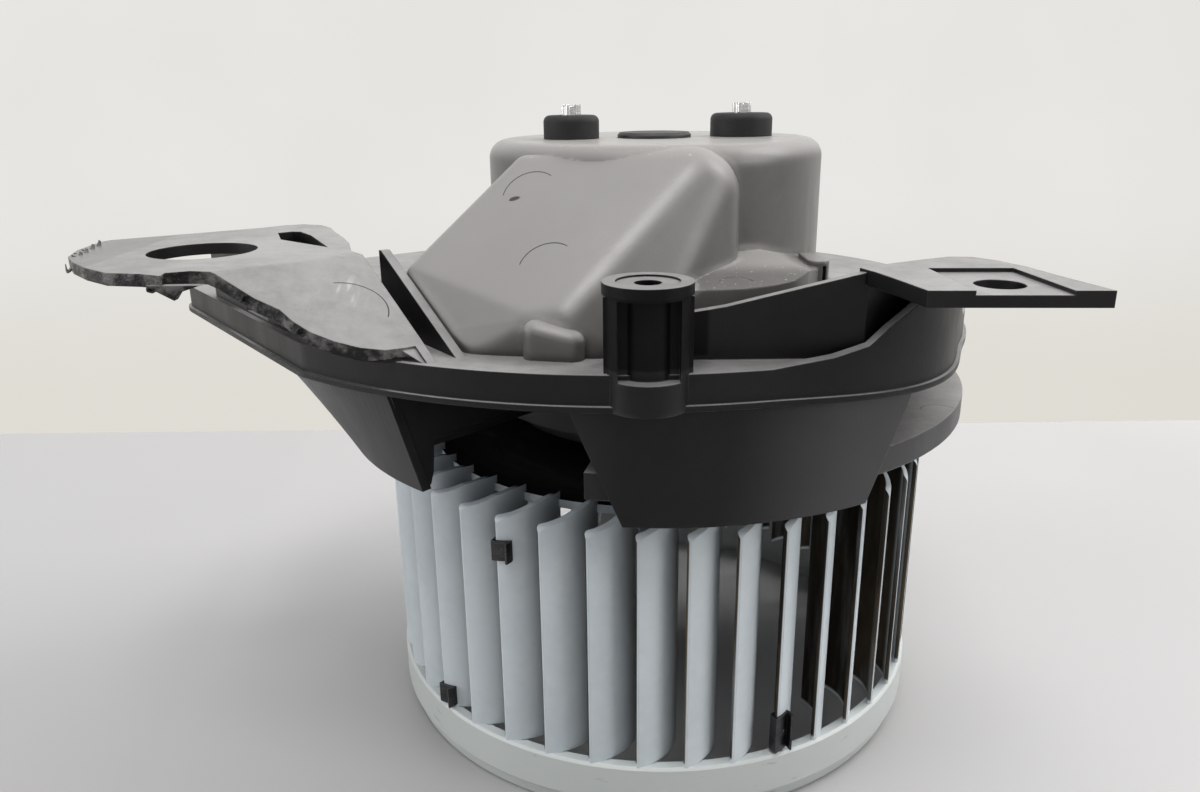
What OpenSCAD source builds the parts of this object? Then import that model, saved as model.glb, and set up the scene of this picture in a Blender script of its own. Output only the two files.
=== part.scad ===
// Car cabin blower motor. A forward-curved fan wheel hangs from a moulded flange, and the motor sits
// in the flange under a cap with a cooling-air hood. The shaft is the Z axis, with the motor side up.
// The lower face of the wheel's inlet ring is at z = 0, and the blower stands on it.

/* [Fan wheel] */
// Outer radius of the wheel over its inlet ring
wheel_r = 72; // [66:0.5:87]
// Height of the wheel from its inlet ring to the blade tops
wheel_h = 76; // [62:0.5:92]
// Number of blades
blade_count = 41; // [31:1:47]
// Radial depth of a blade
blade_depth = 12; // [9:0.5:14.5]
// Thickness of a blade
blade_t = 1.2; // [0.8:0.1:1.6]
// Angle by which a blade's tip trails its root
blade_lead = 7.5; // [5:0.5:9]
// Height of the inlet ring
ring_h = 13.5; // [8:0.5:20]
// Height of the set-back lip at the foot of the inlet ring
lip_h = 3.5; // [2:0.5:5]
// Wall of the inlet ring
ring_wall = 2.7; // [2:0.1:4]
// Wall of the domed back plate
dome_wall = 2; // [1.5:0.1:3]
// Depth of the dome from its rim to the hub
dome_depth = 15; // [10:1:20]
// Radius of the hub boss
hub_r = 10; // [8:0.5:13]
// Length of the hub boss below the dome
hub_len = 14; // [10:1:20]

/* [Motor] */
// Radius of the shaft
shaft_r = 4; // [3:0.25:5]
// Outer radius of the steel can
can_r = 37.5; // [33:0.5:38.5]
// Length of the steel can
can_len = 62; // [56:0.5:75]
// Wall of the steel can
can_wall = 1.5; // [1:0.1:2]
// Thickness of the end plate
plate_t = 3; // [2:0.5:4]
// Outer radius of the bearing bushes
bush_r = 8; // [7:0.5:9]
// Length of the bearing bushes
bush_len = 6.2; // [5:0.2:7]
// Radial thickness of the magnets
magnet_t = 4.9; // [4:0.1:6]
// Length of the magnets
magnet_len = 36; // [30:1:42]
// Air gap between the magnets and the armature
air_gap = 1; // [0.6:0.1:1.5]
// Length of the armature's laminated core
core_len = 26; // [20:1:29]
// Number of slots in the armature
slot_count = 12; // [8:2:16]
// Radius of the commutator
commutator_r = 11; // [9:0.5:13]
// Length of the commutator
commutator_len = 13; // [10:0.5:14]
// Width of a brush
brush_w = 7; // [5:0.5:8]
// Height of a brush
brush_h = 8; // [6:0.5:9]
// Length of a brush
brush_len = 13; // [9:0.5:14]

/* [Motor cap and hood] */
// Outer radius of the cap
cap_r = 42; // [41.5:0.5:50]
// Height of the cap over the flange's deck
cap_h = 39; // [33:0.5:47]
// Wall of the cap
cap_wall = 2.2; // [1.6:0.1:2.6]
// Rounding of the cap's top edge
cap_round = 4.5; // [2:0.5:6]
// Wall of the hood
hood_wall = 2; // [1.6:0.1:2.4]
// Distance of the rubber dampers from the shaft
damper_reach = 21.2; // [18:0.2:26]
// Radius of the left rubber damper's head
damper_r = 7; // [6:0.1:8.5]
// Extra radius of the right rubber damper's head
damper_extra = 0.9; // [0:0.1:1]
// Height of a rubber damper's head
damper_h = 5.7; // [5:0.1:9]
// Height of a rubber damper's foot inside the cap
damper_foot = 3.8; // [2.5:0.1:5]
// Radius of a stud
stud_r = 2.1; // [1.5:0.1:2.6]
// Height by which a stud stands out of its damper
stud_rise = 2.5; // [1:0.1:4]
// Radius of the plug at the centre of the cap
plug_r = 9.35; // [7:0.05:11]

/* [Flange] */
// Gap from the blade tops to the flange's lower ring
wheel_gap = 7; // [4:0.5:10]
// Height from the lower ring to the top of the deck
deck_h = 27; // [22:0.5:33]
// Thickness of the deck
deck_t = 3; // [2:0.2:4]
// Radius of the deck's rim at the front, over the wheel's radius
rim_over = 9.3; // [7:0.1:14]
// Wall of the rim
rim_wall = 3; // [2.2:0.1:4]
// Depth of the rim from the top of the deck
rim_depth = 7.2; // [5:0.1:10]
// Height of the fixing plane over the deck
fixing_h = 17; // [14:0.5:21]
// Thickness of the fixing tabs
tab_t = 2.6; // [2:0.1:4]
// Radius of the hole in the left tab
left_hole_r = 11.8; // [8:0.1:14]
// Radius of the hole in the right tab
right_hole_r = 4.5; // [3:0.1:6]
// Radius of the screw post
post_r = 8.7; // [7:0.1:11]
// Radius of the hole in the screw post
post_hole_r = 2.6; // [2:0.1:4]
// Lower edge of the front skirt, from the blade tops
skirt_rise = 2; // [1:0.5:6]

/* [Hidden] */

$fn = 96;
// Clearance of a running or sliding fit, and of pieces that only lie beside each other
fit = 0.05;
play = 0.3;

// Heights along the shaft, from the wheel up to the cap
ring_z = wheel_h + wheel_gap;
deck_z = ring_z + deck_h;
cap_z = deck_z + cap_h;
can_top = cap_z - cap_wall - damper_foot;
can_bottom = can_top - can_len;
plate_z = can_bottom - plate_t;
dome_z = min(wheel_h - 3, plate_z - 5);
hub_top = dome_z - dome_depth;
hub_z = hub_top - hub_len;
shaft_z = hub_z - 5;
fixing_z = deck_z + fixing_h;
rim_z = deck_z - rim_depth;

// Heights inside the motor
comm_z = can_bottom + 2.3;
core_z = comm_z + commutator_len + 6.5;
head_h = 5.5;
upper_bush_z = can_top - can_wall - bush_len;
magnet_r = can_r - can_wall - 0.1;
core_r = magnet_r - magnet_t - air_gap;

// Radii of the flange. The screw points keep their places on the rim when it grows
rim_r = wheel_r + rim_over;
cup_r = cap_r;
cup_wall = 2.6;
ring_r = wheel_r + 8;
skirt_r = wheel_r + 8.6;
spread = rim_r - 81.3;

function polar(r, a) = [r * cos(a), r * sin(a)];
function arc(centre, r, from, to, steps) =
    [for (i = [0 : steps]) centre + polar(r, from + (to - from) * i / steps)];
function moved(points, a) = [for (p = points) p + polar(spread, a)];

// The fan wheel

blade_tip_r = wheel_r - 0.4 - blade_t / 2;
blade_root_r = blade_tip_r - blade_depth;
blade_dx = blade_tip_r * cos(blade_lead) - blade_root_r;
blade_dy = blade_tip_r * sin(blade_lead);
blade_arc_r = (blade_dx * blade_dx + blade_dy * blade_dy) / (2 * blade_dy);
blade_pitch = 360 / blade_count;
// Direction of the blade's tip from the centre of its arc
blade_end = atan2(blade_arc_r - blade_dy, blade_dx);
// Height at which the blades start inward of the inlet ring
blade_foot = ring_h + 0.2;
// Angle of the first blade's tip, at the left of the front
first_tip = -130.7;

// Section of a blade: it leaves the root along a radius and ends almost along the rim, with a round tip
module blade_section() {
    translate([blade_root_r, -blade_arc_r]) {
        intersection() {
            difference() {
                circle(blade_arc_r + blade_t / 2);
                circle(blade_arc_r - blade_t / 2);
            }
            polygon([[0, 0], polar(3 * blade_arc_r, blade_end), polar(3 * blade_arc_r, 90)]);
        }
        translate(polar(blade_arc_r, blade_end))
            circle(blade_t / 2 - 0.03);
    }
}

// Outline that the blades fill, with the rounded corner and the rising edge at their tops
module blade_envelope() {
    corner = 2.5;
    edge = blade_tip_r + blade_t;
    rotate_extrude($fn = 180)
        polygon(concat([[blade_root_r - 2, blade_foot], [wheel_r - ring_wall + 0.6, blade_foot],
            [wheel_r - ring_wall + 0.6, lip_h + 1], [edge, lip_h + 1]],
            arc([edge - 0.6 - corner, wheel_h - 3.8 - corner], corner, 0, 60, 4),
            [[blade_tip_r - 4.5, wheel_h - 2], [blade_tip_r - 8, wheel_h - 1.2], [blade_root_r - 2, wheel_h - 1.2]]));
}

function dome_height(t) = hub_top + dome_depth * (1 - cos(180 * t)) / 2;

module dome() {
    steps = 10;
    rim = blade_root_r + 0.8;
    rotate_extrude($fn = 180)
        polygon(concat(
            [for (i = [0 : steps]) [hub_r - 1 + (rim - hub_r + 1) * i / steps, dome_height(i / steps)]],
            [for (i = [steps : -1 : 0])
                [hub_r - 1 + (rim - hub_r + 1) * i / steps, dome_height(i / steps) - dome_wall]]));
}

module inlet_ring() {
    rotate_extrude($fn = 180)
        polygon([[wheel_r - ring_wall, 0], [wheel_r - 1.7, 0], [wheel_r - 1.4, 0.3],
            [wheel_r - 1.4, lip_h], [wheel_r - 0.4, lip_h], [wheel_r, lip_h + 0.5],
            [wheel_r, ring_h - 0.6], [wheel_r - 0.6, ring_h], [wheel_r - ring_wall, ring_h]]);
}

module impeller() {
    color("gainsboro")
        difference() {
            union() {
                intersection() {
                    linear_extrude(wheel_h)
                        for (k = [0 : blade_count - 1])
                            rotate(first_tip + blade_lead + k * blade_pitch)
                                blade_section();
                    blade_envelope();
                }
                inlet_ring();
                dome();
                translate([0, 0, hub_z])
                    cylinder(r = hub_r, h = hub_len + 8);
            }
            translate([0, 0, hub_z - 1])
                cylinder(r = shaft_r + fit, h = hub_len + 12);
        }
}

// Spring steel clip that grips a blade's tip and balances the wheel, with a bent ear and a dimple
module balance_clip(k, z, clip_h) {
    clip_t = 0.5;
    clip_len = 4.4;
    inner = blade_t / 2 + fit;
    outer = blade_arc_r + inner + clip_t;
    tip_y = blade_arc_r - blade_dy - blade_t / 2;
    color("dimgray")
        rotate(first_tip + blade_lead + k * blade_pitch)
            translate([blade_root_r, -blade_arc_r, z]) {
                difference() {
                    intersection() {
                        cylinder(r = outer, h = clip_h);
                        translate([blade_arc_r - 5, tip_y - fit - clip_t, -1])
                            cube([9, clip_len, clip_h + 2]);
                    }
                    translate([0, 0, -1])
                        cylinder(r = blade_arc_r - inner - clip_t, h = clip_h + 2);
                    intersection() {
                        translate([0, 0, -1])
                            difference() {
                                cylinder(r = blade_arc_r + inner, h = clip_h + 2);
                                translate([0, 0, -1])
                                    cylinder(r = blade_arc_r - inner, h = clip_h + 4);
                            }
                        translate([0, tip_y - fit, -2])
                            cube([20, 20, clip_h + 4]);
                    }
                }
                rotate(asin((tip_y + clip_len - 0.8) / outer))
                    translate([outer - 0.15, 0, 0])
                        rotate(-35)
                            cube([1.9, clip_t, clip_h]);
                rotate(asin((tip_y + clip_len / 2) / outer))
                    translate([outer - 0.1, 0, clip_h / 2])
                        rotate([0, 90, 0])
                            cylinder(r = 0.7, h = 0.3, $fn = 24);
            }
}

module balance_clip_1() {
    balance_clip(1, wheel_h - 14.8, 4.9);
}

module balance_clip_2() {
    balance_clip(-1, ring_h + 0.8, 5.2);
}

module balance_clip_3() {
    balance_clip(7, ring_h + 0.8, 9.4);
}

// The armature and its shaft

module shaft() {
    color("silver")
        translate([0, 0, shaft_z])
            cylinder(r = shaft_r, h = upper_bush_z + bush_len - 0.5 - shaft_z);
}

module hub_clip() {
    color("dimgray")
        translate([0, 0, hub_z - 1.2])
            difference() {
                cylinder(r = shaft_r + 3.2, h = 1.2);
                translate([0, 0, -1])
                    cylinder(r = shaft_r + fit, h = 4);
                translate([shaft_r - 1, -0.8, -1])
                    cube([6, 1.6, 4]);
            }
}

module armature_core() {
    tooth_gap = 2.2;
    color("slategray")
        translate([0, 0, core_z])
            difference() {
                cylinder(r = core_r, h = core_len);
                translate([0, 0, -1])
                    cylinder(r = shaft_r + fit, h = core_len + 2);
                for (i = [0 : slot_count - 1])
                    rotate(i * 360 / slot_count) {
                        translate([core_r - 9, 0, -1])
                            cylinder(r = 3.4, h = core_len + 2, $fn = 32);
                        translate([core_r - 9, -tooth_gap / 2, -1])
                            cube([12, tooth_gap, core_len + 2]);
                    }
            }
}

// Copper coils: one bar in each slot, and a rounded ring of coil heads at each end
module armature_windings() {
    bar_r = 3.1;
    head_r = core_r - 9;
    color("chocolate")
        union() {
            for (i = [0 : slot_count - 1])
                rotate(i * 360 / slot_count)
                    translate([head_r, 0, core_z - 1])
                        cylinder(r = bar_r, h = core_len + 2, $fn = 32);
            for (z = [core_z - head_h, core_z + core_len])
                translate([0, 0, z])
                    difference() {
                        union() {
                            cylinder(r = head_r + 2, h = head_h);
                            translate([0, 0, head_h / 2])
                                rotate_extrude()
                                    translate([head_r + 2, 0])
                                        circle(head_h / 2, $fn = 32);
                        }
                        translate([0, 0, -1])
                            cylinder(r = shaft_r + 4, h = head_h + 2);
                    }
        }
}

module commutator() {
    color("peru")
        translate([0, 0, comm_z])
            difference() {
                union() {
                    cylinder(r = commutator_r, h = commutator_len);
                    translate([0, 0, commutator_len - 2])
                        cylinder(r = commutator_r + 2, h = 2);
                }
                translate([0, 0, -1])
                    cylinder(r = shaft_r + fit, h = commutator_len + 2);
                for (i = [0 : slot_count - 1])
                    rotate(i * 360 / slot_count)
                        translate([commutator_r - 1.2, -0.3, -1])
                            cube([5, 0.6, commutator_len + 2]);
            }
}

// Thrust washers that keep the armature between its two bushes
module thrust_washers() {
    washer_t = 1;
    color("wheat")
        for (z = [comm_z - washer_t, upper_bush_z - play - washer_t])
            translate([0, 0, z])
                difference() {
                    cylinder(r = shaft_r + 3, h = washer_t);
                    translate([0, 0, -1])
                        cylinder(r = shaft_r + fit, h = washer_t + 2);
                }
}

// The motor's fixed parts

module bush(z) {
    color("goldenrod")
        translate([0, 0, z])
            difference() {
                cylinder(r = bush_r, h = bush_len);
                translate([0, 0, -1])
                    cylinder(r = shaft_r + fit, h = bush_len + 2);
            }
}

lower_bush_z = comm_z - 1 - play - bush_len;

module lower_bearing() {
    bush(lower_bush_z);
}

module upper_bearing() {
    bush(upper_bush_z);
}

damper_turn = 7;
function damper_at(side) = side == 0 ? damper_reach + 1.5 : damper_reach;

module at_dampers() {
    for (side = [0, 180])
        rotate(damper_turn + side)
            translate([damper_at(side), 0, 0])
                children();
}

module motor_can() {
    collar = 1.8;
    color("darkgray")
        difference() {
            translate([0, 0, can_bottom])
                rotate_extrude()
                    difference() {
                        union() {
                            square([can_r - 2.5, can_len]);
                            square([can_r, can_len - 2.5]);
                            translate([can_r - 2.5, can_len - 2.5])
                                circle(2.5, $fn = 48);
                        }
                        translate([-1, -1])
                            square([can_r - can_wall + 1, can_len - can_wall + 1 - bush_len]);
                        translate([bush_r + collar, can_len - can_wall - bush_len - 1])
                            square([can_r - can_wall - bush_r - collar, bush_len + 1]);
                        translate([-1, can_len - can_wall - bush_len - 1])
                            square([bush_r + fit + 1, bush_len + 1]);
                    }
            at_dampers()
                translate([0, 0, can_top - can_wall - 1])
                    cylinder(r = stud_r + fit, h = can_wall + 2);
        }
}

// Radius at which a brush guide ends and its spring is seated
spring_seat = commutator_r + 20.8;

module end_plate() {
    guide = 1;
    color("black")
        difference() {
            union() {
                translate([0, 0, plate_z])
                    cylinder(r = can_r, h = plate_t);
                translate([0, 0, can_bottom])
                    cylinder(r = can_r - can_wall - 0.1, h = 1);
                translate([0, 0, lower_bush_z])
                    cylinder(r = bush_r + 2.4, h = bush_len);
                for (side = [0, 1])
                    rotate(180 * side)
                        translate([commutator_r + 2.5, -brush_w / 2 - guide, plate_z])
                            cube([spring_seat - commutator_r - 1.3, brush_w + 2 * guide,
                                comm_z - plate_z + 2 + brush_h + guide]);
            }
            translate([0, 0, lower_bush_z - 1])
                cylinder(r = bush_r + fit, h = bush_len + 2);
            for (side = [0, 1])
                rotate(180 * side)
                    translate([commutator_r + 1, -brush_w / 2 - 0.1, comm_z + 2 - 0.1])
                        cube([spring_seat - commutator_r - 1, brush_w + 0.2, brush_h + 0.2]);
            // Vents for the cooling air, between the brush guides
            for (a = [60 : 30 : 120], side = [0, 180])
                rotate(a + side)
                    translate([25, -2.5, plate_z - 1])
                        cube([7, 5, plate_t + 3]);
        }
}

module magnet(side) {
    color("darkslategray")
        rotate(90 * side + 90)
            translate([0, 0, core_z + core_len / 2 - magnet_len / 2])
                intersection() {
                    difference() {
                        cylinder(r = magnet_r, h = magnet_len);
                        translate([0, 0, -1])
                            cylinder(r = magnet_r - magnet_t, h = magnet_len + 2);
                    }
                    linear_extrude(magnet_len)
                        polygon([[0, 0], polar(3 * magnet_r, 30), polar(3 * magnet_r, 150)]);
                }
}

module magnet_left() {
    magnet(-2);
}

module magnet_right() {
    magnet(0);
}

module brush(side) {
    color("dimgray")
        rotate(side)
            translate([0, 0, comm_z + 2])
                difference() {
                    translate([commutator_r, -brush_w / 2, 0])
                        cube([brush_len, brush_w, brush_h]);
                    translate([0, 0, -1])
                        cylinder(r = commutator_r + play, h = brush_h + 2);
                }
}

module brush_left() {
    brush(180);
}

module brush_right() {
    brush(0);
}

// Coil spring that presses a brush against the commutator, swept as a ring of points along a helix
module brush_spring(side) {
    turns = 5;
    per_turn = 12;
    ring = 6;
    coil_r = 2.4;
    wire_r = 0.4;
    from = commutator_r + brush_len + wire_r;
    length = spring_seat - wire_r - from;
    steps = turns * per_turn;
    points = [for (i = [0 : steps]) for (j = [0 : ring - 1])
        let (a = 360 * i / per_turn, b = 360 * j / ring, r = coil_r + wire_r * cos(b))
        [from + length * i / steps + wire_r * sin(b), r * cos(a), r * sin(a)]];
    faces = [for (i = [0 : steps - 1]) for (j = [0 : ring - 1])
        let (a = ring * i + j, b = ring * i + (j + 1) % ring)
        each [[a, b, b + ring], [a, b + ring, a + ring]]];
    color("silver")
        rotate(side)
            translate([0, 0, comm_z + 2 + brush_h / 2])
                polyhedron(points, concat([[for (j = [ring - 1 : -1 : 0]) j]], faces,
                    [[for (j = [0 : ring - 1]) steps * ring + j]]));
}

module brush_spring_left() {
    brush_spring(180);
}

module brush_spring_right() {
    brush_spring(0);
}

// Suppression choke: a ferrite rod in a copper coil, lying on the end plate
module choke(side) {
    rod_r = 1.9;
    coil_r = 3.2;
    color("sienna")
        rotate(side)
            translate([18.5, 0, can_bottom + 1 + coil_r])
                rotate([90, 0, 0])
                    union() {
                        translate([0, 0, -9])
                            cylinder(r = rod_r, h = 18, $fn = 32);
                        translate([0, 0, -6])
                            cylinder(r = coil_r, h = 12, $fn = 32);
                    }
}

module choke_left() {
    choke(-90);
}

module choke_right() {
    choke(90);
}

module isolator_ring() {
    color("black")
        translate([0, 0, ring_z + 2])
            difference() {
                cylinder(r = cup_r - 0.15, h = 8);
                translate([0, 0, -1])
                    cylinder(r = can_r + 0.15, h = 10);
            }
}

// Rubber damper, held in the cap's roof by its groove
damper_neck_r = damper_r - 2.6;

module damper(side, r) {
    round_r = 1.6;
    color("black")
        rotate(damper_turn + side)
            translate([damper_at(side), 0, can_top])
                rotate_extrude()
                    difference() {
                        union() {
                            square([damper_r - 0.9, damper_foot]);
                            square([damper_neck_r, damper_foot + cap_wall + 1]);
                            translate([0, damper_foot + cap_wall]) {
                                square([r, damper_h - round_r]);
                                square([r - round_r, damper_h]);
                                translate([r - round_r, damper_h - round_r])
                                    circle(round_r, $fn = 32);
                            }
                        }
                        translate([-1, -1])
                            square([stud_r + fit + 1, damper_h + damper_foot + cap_wall + 2]);
                    }
}

module damper_left() {
    damper(180, damper_r);
}

module damper_right() {
    damper(0, damper_r + damper_extra);
}

// Steel stud with a six-lobed end, riveted in the roof of the can
module stud(side) {
    lobes = 6;
    top = cap_z + damper_h + stud_rise;
    color("silver")
        rotate(damper_turn + side)
            translate([damper_at(side), 0, 0])
                union() {
                    translate([0, 0, can_top - can_wall - 2])
                        cylinder(r = stud_r + 1.6, h = 2);
                    translate([0, 0, can_top - can_wall - 1])
                        cylinder(r = stud_r, h = top - can_top + can_wall + 0.6);
                    translate([0, 0, top - stud_rise])
                        for (i = [0 : lobes - 1])
                            rotate(i * 360 / lobes)
                                translate([stud_r - 0.25, 0, 0])
                                    cylinder(r = 0.6, h = stud_rise, $fn = 24);
                }
}

module stud_left() {
    stud(180);
}

module stud_right() {
    stud(0);
}

module centre_plug() {
    plug_h = 1.3;
    color("black")
        rotate_extrude()
            polygon([[0, cap_z - cap_wall - 0.8], [5, cap_z - cap_wall - 0.8], [5, cap_z], [plug_r, cap_z],
                [plug_r, cap_z + plug_h - 0.6], [plug_r - 0.6, cap_z + plug_h], [0, cap_z + plug_h]]);
}

// The cap with its hood

// Rounded corners of the hood: place, height of the ball's centre over the deck, and ball's radius.
// The first seven lie behind one slanted face, and the others lead from its ends down to the deck
function hood_balls() = [
    [[-30.5, -29.6], cap_h - 5.8, 3.5],
    [[5.8, -40], cap_h - 10.9, 10.6],
    [[-53.2, -44.7], 12, 3.5],
    [[-41.6, -57.6], 2, 5.2],
    [[-28, -61.5], 4.1, 7],
    [[-21, -62], 4.7, 8],
    [[-10, -62.5], -4, 7.6],
    [[6, -40], 14, 10.4],
    [[-38, -60], -1, 6],
    [[-52.6, -43.4], -4, 4.2],
    [[0, -46], -4, 10]];
// Balls of the nose at the foot of the hood's ridge
function nose_balls() = [
    [[-27.2, -68.6], 5, 2.6],
    [[-20, -70], 3.2, 2.6],
    [[-27.2, -68.6], -3, 2.6],
    [[-20, -70], -3, 2.6],
    [[-23, -60], 4, 4]];

module ball_hull(balls, inset, steps) {
    hull() {
        for (b = balls)
            translate([b[0][0], b[0][1], deck_z + b[1]])
                sphere(b[2] - inset, $fn = steps);
        children();
    }
}

module hood_form(inset, steps) {
    intersection() {
        ball_hull(hood_balls(), inset, steps)
            translate([-24, -22, deck_z - 14])
                cylinder(r = 12 - inset, h = 4, $fn = steps);
        translate([-100, -100, deck_z])
            cube([200, 200, cap_h + 20]);
    }
}

// Box of the shelf beside the hood, with a roof that rises towards the cap
module shelf_form(inset) {
    back = 15.8 - inset;
    front = 12 - inset;
    intersection() {
        translate([0, 0, deck_z])
            linear_extrude(30)
                polygon([[-8, -20], [-8, -65 + inset], [0, -63.4 + inset], [8, -62.4 + inset], [15, -61.8 + inset],
                    [21 - inset / 4, -60 + inset], [26 - inset, -57.2 + inset / 2], [29.8 - inset, -52 + inset / 2],
                    [33.4 - inset, -44.5], [35.4 - inset, -39], [35.4 - inset, -14], [20, -14]]);
        translate([-20, 0, deck_z])
            rotate([90, 0, 90])
                linear_extrude(80)
                    polygon([[-80, 0], [-80, front - 1], [-62, front], [-39, back], [-5, back], [-5, 0]]);
        translate([0, 0, deck_z])
            rotate([90, 0, 0])
                linear_extrude(80)
                    polygon([[-30, 0], [-30, back], [22, back], [30, front + 1.6], [37, front - 0.4], [37, 0]]);
    }
}

module motor_cover() {
    color("gray")
        difference() {
            union() {
                translate([0, 0, deck_z])
                    rotate_extrude() {
                        square([cap_r - cap_round, cap_h]);
                        square([cap_r, cap_h - cap_round]);
                        translate([cap_r - cap_round, cap_h - cap_round])
                            circle(cap_round, $fn = 48);
                        square([cap_r + 5, 2.4]);
                    }
                hood_form(0, 40);
                intersection() {
                    ball_hull(nose_balls(), 0, 24);
                    translate([-50, -100, deck_z])
                        cube([60, 60, 20]);
                }
                shelf_form(0);
                // Upstand at the shelf's right end
                translate([34.4, -40.6, deck_z])
                    cylinder(r = 2.4, h = 14, $fn = 32);
                translate([32, -40.6, deck_z])
                    cube([4.8, 10, 14]);
            }
            translate([0, 0, deck_z - 1])
                cylinder(r = cap_r - cap_wall, h = cap_h - cap_wall + 1);
            hood_form(hood_wall, 16);
            shelf_form(hood_wall);
            translate([34.9, -44, deck_z + 6])
                cube([0.9, 3.4, 7]);
            translate([0, 0, cap_z - cap_wall - 1])
                cylinder(r = 5 + fit, h = cap_wall + 2);
            at_dampers()
                translate([0, 0, cap_z - cap_wall - 1])
                    cylinder(r = damper_neck_r + fit, h = cap_wall + 2);
        }
}

// The moulded flange

outlet_a = -143;
outlet_p = rim_r + 15.2;
end_a = 127;
end_p = rim_r + 15.7;
tongue_p = -10;
tongue_at = 134;
back_r = rim_r - 2.8;

// Radius of the rim at an angle: concentric behind, swollen under the right tab, a spiral at the left
function smooth(t) = t <= 0 ? 0 : t >= 1 ? 1 : (1 - cos(180 * t)) / 2;
function swell(a) = abs(a + 53) < 26 ? 5.5 * (1 + cos((a + 53) * 180 / 26)) / 2 : 0;
function rim_at(a) = a > -82
    ? back_r + (rim_r - back_r) * smooth((-22 - a) / 60) + swell(a)
    : rim_r + 0.038 * (-82 - a) + 0.00307 * pow(-82 - a, 2);
function outlet_at(a) = max(outlet_p / cos(a - outlet_a), rim_at(a));
// Outline of the deck, drawn in by an inset
function deck_outline(inset) = concat(
    [for (a = [tongue_at : -2 : -22]) polar(back_r - inset, a)],
    [for (a = [-23.5 : -1.5 : -145]) polar(rim_at(a) - inset, a)],
    arc(polar(outlet_p - 12, outlet_a) + polar(end_p - 12, end_a), 12 - inset, outlet_a, outlet_a - 90, 8),
    arc(polar(tongue_p - 8, outlet_a + 180) + polar(end_p - 8, end_a), 8 - inset,
        outlet_a - 90, outlet_a - 180, 6));

// Wall that follows the rim between two heights
module rim_band(outer, inner, z, h) {
    translate([0, 0, z])
        linear_extrude(h)
            difference() {
                polygon(deck_outline(outer));
                polygon(deck_outline(inner));
            }
}

// Block whose side view is a profile along the left tab's fall, between two lines across it
slope_a = -54;
slope_run = 32.8;
crease_s = -2.8;
slot_c = -79.5;
slot_w = 4.3;
rib_w = 2.1;

module slope_block(profile, from, to) {
    translate(concat(polar(spread, -125), [0]))
        rotate([0, 0, slope_a])
            translate([0, to, 0])
                rotate([90, 0, 0])
                    linear_extrude(to - from)
                        polygon(profile);
}

function sheet_profile(t) = [[-80, fixing_z], [crease_s, fixing_z], [crease_s + slope_run, deck_z],
    [crease_s + slope_run, deck_z - t], [crease_s - t / 4, fixing_z - t], [-80, fixing_z - t]];
function under_profile() = [[-64, fixing_z - 0.5], [crease_s - 0.1, fixing_z - 0.5],
    [crease_s + slope_run, deck_z - 0.5], [crease_s + slope_run, rim_z + 1], [-64, rim_z + 1]];

// Plan of the left tab and its fall. The points from the second to the ninth lie on the broken edge
left_plan = moved([[-126.6, -49.7], [-119.9, -57.3], [-112.8, -63.3], [-105.2, -64.9], [-100.1, -67.3],
    [-100.6, -64.1], [-96.4, -62.2], [-90.8, -63.6], [-82.2, -67.4], [-77.1, -68.6], [-74.3, -70.7],
    [-70.5, -72.4], [-65.7, -73.1], [-61, -72.9], [-56.5, -71.7], [-53, -69.5], [-50.4, -67.6],
    [-48.3, -68.5], [-46.1, -70.8], [-46, -30], [-69, -41], [-93, -17.9], [-103.7, 0.8], [-116.3, -7.4],
    [-133.6, -18], [-134.9, -21], [-133.9, -33.2], [-131, -43]], -125);
left_hole = [-104, -36.5] + polar(spread, -125);
ear_plan = moved([[-103.7, 0.8], [-98.5, 5.5], [-93.9, 7.2], [-88.5, 5], [-84.5, -1], [-81.5, -8.5],
    [-77, -18], [-73, -28], [-69.3, -40.7], [-80, -34], [-97, -14]], -125);
ear_hole = moved([[-95.8, -9.1], [-93, -6.8], [-90.6, -7.2], [-86, -14], [-76.5, -33.5], [-91.4, -20.5]], -125);

module left_tab() {
    difference() {
        union() {
            intersection() {
                slope_block(sheet_profile(tab_t), -170, slot_c);
                translate([0, 0, rim_z])
                    linear_extrude(60)
                        polygon(left_plan);
            }
            translate([0, 0, fixing_z - 5])
                linear_extrude(5)
                    polygon(ear_plan);
            // Wall of the rim, carried up under the tab
            intersection() {
                rim_band(1.4, rim_wall + 0.8, rim_z + 1, 30);
                slope_block(under_profile(), -170, slot_c);
            }
            // Torn tooth that hangs from the broken edge
            translate([spread * cos(-125), spread * sin(-125) - 65.4, fixing_z])
                rotate([90, 0, 0])
                    linear_extrude(1.8)
                        polygon([[-103.4, -2], [-100.6, -3.6], [-98.1, -5], [-96.9, -3.4], [-92.6, -2]]);
            // Web under the fall's right edge, and the rib across the slot
            slope_block([[-14, fixing_z], [crease_s, fixing_z], [crease_s + slope_run, deck_z],
                [crease_s + slope_run, deck_z - 1], [-14, deck_z - 1]], slot_c - 2, slot_c);
            slope_block([[-4, fixing_z + 0.4], [crease_s, fixing_z + 0.4], [crease_s + slope_run, deck_z],
                [crease_s + slope_run, deck_z - 1], [-4, deck_z - 1]],
                slot_c + slot_w, slot_c + slot_w + rib_w);
        }
        translate([left_hole[0], left_hole[1], fixing_z - 10])
            cylinder(r = left_hole_r, h = 20);
        // The wall under the tab keeps clear of the hole
        translate([left_hole[0], left_hole[1], deck_z + 0.5])
            cylinder(r = left_hole_r + 1, h = fixing_z - tab_t - 0.1 - deck_z - 0.5);
        translate([0, 0, fixing_z - 10])
            linear_extrude(20)
                polygon(ear_hole);
    }
}

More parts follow.
